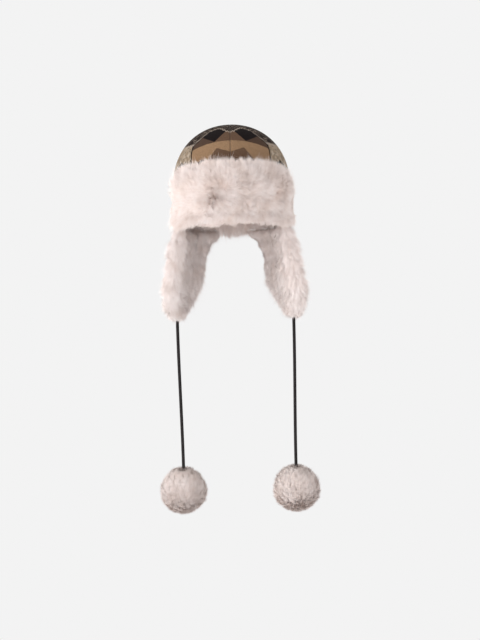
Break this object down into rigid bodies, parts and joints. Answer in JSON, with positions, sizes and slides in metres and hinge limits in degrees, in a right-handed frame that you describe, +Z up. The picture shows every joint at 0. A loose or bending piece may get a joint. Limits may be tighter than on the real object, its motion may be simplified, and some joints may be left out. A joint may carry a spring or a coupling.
{
  "type": "earflap hat",
  "caption": "Winter hat with a patterned cloth crown, a turned-up fur flap over the brow, long fur earflaps, and a fur pompom on a cord below each.",
  "frame": {"origin": "centre of the head opening, at the level of the crown's rim", "axes": "+Z up towards the crown's top, the brow towards -Y, +X to the right of someone who looks at the front"},
  "size_m": [0.2755, 0.2632, 0.6725],
  "materials": {
    "jacquard": "fine jacquard cloth in camel, browns and cream",
    "fur": "long-pile fur, pale blush",
    "cord": "round braided cord, black"
  },
  "bodies": {
    "root": {"crown_left": "jacquard", "crown_right": "jacquard", "lining": "fur", "front_flap": "fur", "earflap_cover_left": "jacquard", "earflap_cover_right": "jacquard", "earflap_fur_left": "fur", "earflap_fur_right": "fur", "cord_left": "cord", "cord_right": "cord", "pompom_left": "fur", "pompom_right": "fur"}
  },
  "joints": []
}
